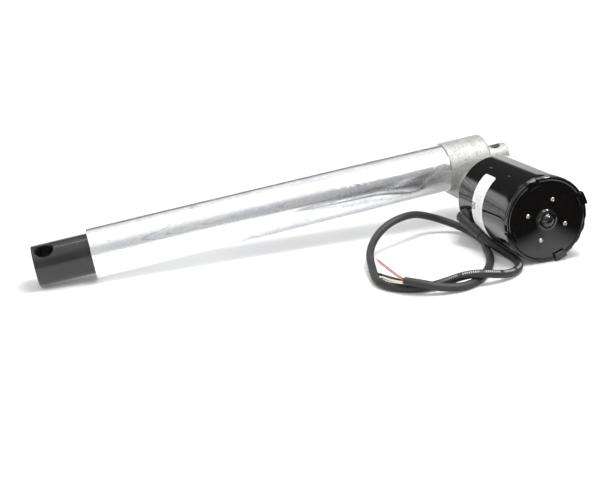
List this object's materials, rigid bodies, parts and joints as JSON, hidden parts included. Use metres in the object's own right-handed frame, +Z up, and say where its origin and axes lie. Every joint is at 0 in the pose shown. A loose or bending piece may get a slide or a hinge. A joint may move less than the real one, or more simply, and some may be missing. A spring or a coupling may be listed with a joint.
{
  "type": "linear actuator",
  "caption": "Electric linear actuator: parallel motor, cast gear housing, round cover tube, cross-drilled extension tube and rear lug, and a loose cord with bare lead ends.",
  "frame": {"origin": "centre of the footprint of the unit without its cord, on the floor it lies on", "axes": "+X from the extension tube's tip toward the gear housing, +Y from the motor's capped end toward the gear housing, +Z up"},
  "size_m": [0.5086, 0.2452, 0.0914],
  "materials": {
    "cast_aluminium": "satin die casting, slightly grainy",
    "mill_aluminium": "mill finish, bright, with handling scratches",
    "black_steel": "satin black",
    "gloss_black": "gloss black enamel",
    "steel": "ground bright",
    "dark_steel": "plain",
    "bronze": "machined",
    "copper": "lacquered wire",
    "black_plastic": "moulded",
    "white_plastic": "machined acetal",
    "rubber": "moulded",
    "cord_jacket": "matt jacket with a printed dash line",
    "ferrite": "fired",
    "label_white": "printed film, marks only",
    "lead_red": "extruded insulation",
    "lead_black": "extruded insulation",
    "lead_white": "extruded insulation"
  },
  "bodies": {
    "housing": {"gear_housing": "cast_aluminium", "thrust_plug": "dark_steel", "worm_end_bushing": "bronze", "motor_bearing": "steel", "cover_tube": "mill_aluminium", "front_bushing": "white_plastic", "wiper_seal": "rubber", "screw_rear_bearing": "steel", "screw_thrust_bearing": "steel", "bearing_retainer": "dark_steel", "motor_shell": "gloss_black", "magnet_1": "ferrite", "magnet_2": "ferrite", "motor_end_cap": "gloss_black", "motor_bushing": "bronze", "rivet_1": "steel", "rivet_2": "steel", "rivet_3": "steel", "rivet_4": "steel", "brush_plate": "black_plastic", "brush_1": "dark_steel", "brush_2": "dark_steel", "motor_screw_1": "dark_steel", "motor_screw_2": "dark_steel", "motor_screw_3": "dark_steel", "motor_screw_4": "dark_steel", "strain_relief": "rubber", "rating_label": "label_white", "power_cord": "cord_jacket", "lead_red": "lead_red", "lead_black": "lead_black", "lead_white": "lead_white"},
    "rotor": {"worm_shaft": "steel", "rotor_core": "dark_steel", "rotor_winding_rear": "copper", "rotor_winding_front": "copper", "commutator": "copper"},
    "screw": {"lead_screw": "steel", "screw_stop_washer": "dark_steel", "worm_gear": "bronze"},
    "extension": {"extension_tube": "black_steel", "extension_plug": "black_steel", "extension_tip": "black_steel", "drive_nut": "bronze", "guide_ring": "white_plastic"}
  },
  "joints": [
    {"name": "motor_spin", "type": "hinge", "parent": "housing", "child": "rotor", "pos_m": [0.20967, 0.0691, 0.04127], "axis": [0, -1, 0], "range_deg": [0, 172800]},
    {"name": "screw_spin", "type": "hinge", "parent": "housing", "child": "screw", "pos_m": [0.20757, 0.0691, 0.06368], "axis": [0.9956, 0, 0.0934], "range_deg": [0, 8640]},
    {"name": "extension_slide", "type": "slide", "parent": "housing", "child": "extension", "axis": [-0.9956, 0, -0.0934], "range_m": [0, 0.3048]}
  ],
  "couplings": [
    {"joint": "screw_spin", "follows": "motor_spin", "ratio": 0.05},
    {"joint": "extension_slide", "follows": "motor_spin", "m_per_rad": 0.00010106}
  ]
}
